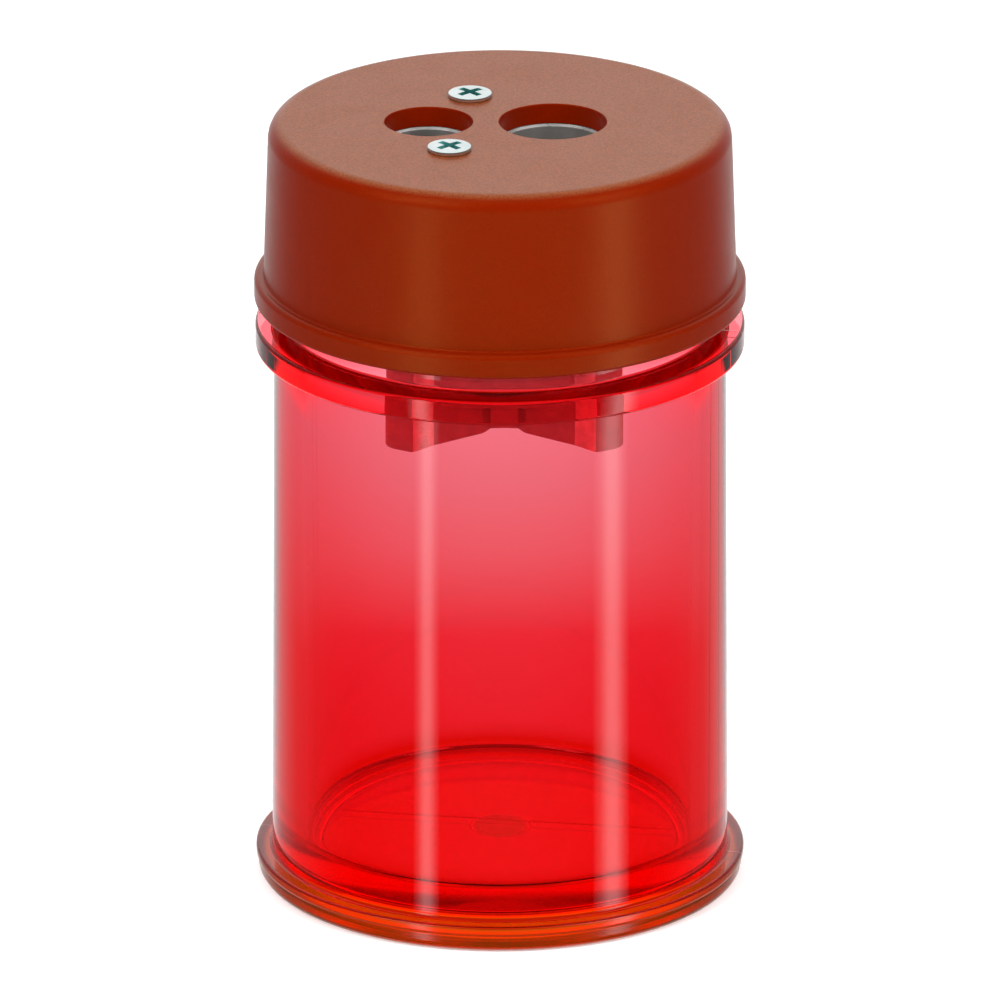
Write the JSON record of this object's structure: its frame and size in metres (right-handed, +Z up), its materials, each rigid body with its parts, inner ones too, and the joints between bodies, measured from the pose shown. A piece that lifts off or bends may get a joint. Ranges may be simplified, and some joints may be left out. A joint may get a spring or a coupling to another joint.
{
  "type": "pencil sharpener",
  "caption": "Canister pencil sharpener: a clear red shavings jar with a push-on lid that carries a cast metal sharpener for slim and thick pencils.",
  "frame": {"origin": "centre of the jar's foot ring, on the surface it stands on", "axes": "+Z up the jar's axis; +X from the slim pencil hole to the thick one; the blades are on the +Y side"},
  "size_m": [0.046, 0.046, 0.0747],
  "materials": {
    "jar_plastic": "clear red moulded polystyrene, glossy",
    "lid_plastic": "opaque brick-red plastic with a fine texture",
    "block_metal": "dull cast light alloy with machined faces",
    "blade_steel": "ground steel",
    "screw_plating": "bright zinc plate"
  },
  "bodies": {
    "jar": {"jar": "jar_plastic"},
    "head": {"lid": "lid_plastic", "sharpener_block": "block_metal", "slim_blade": "blade_steel", "jumbo_blade": "blade_steel", "lid_screw_front": "screw_plating", "lid_screw_back": "screw_plating", "slim_blade_screw": "screw_plating", "jumbo_blade_screw": "screw_plating"}
  },
  "joints": [
    {"name": "lid_lift", "type": "slide", "parent": "jar", "child": "head", "axis": [0, 0, 1], "range_m": [0, 0.034]}
  ]
}
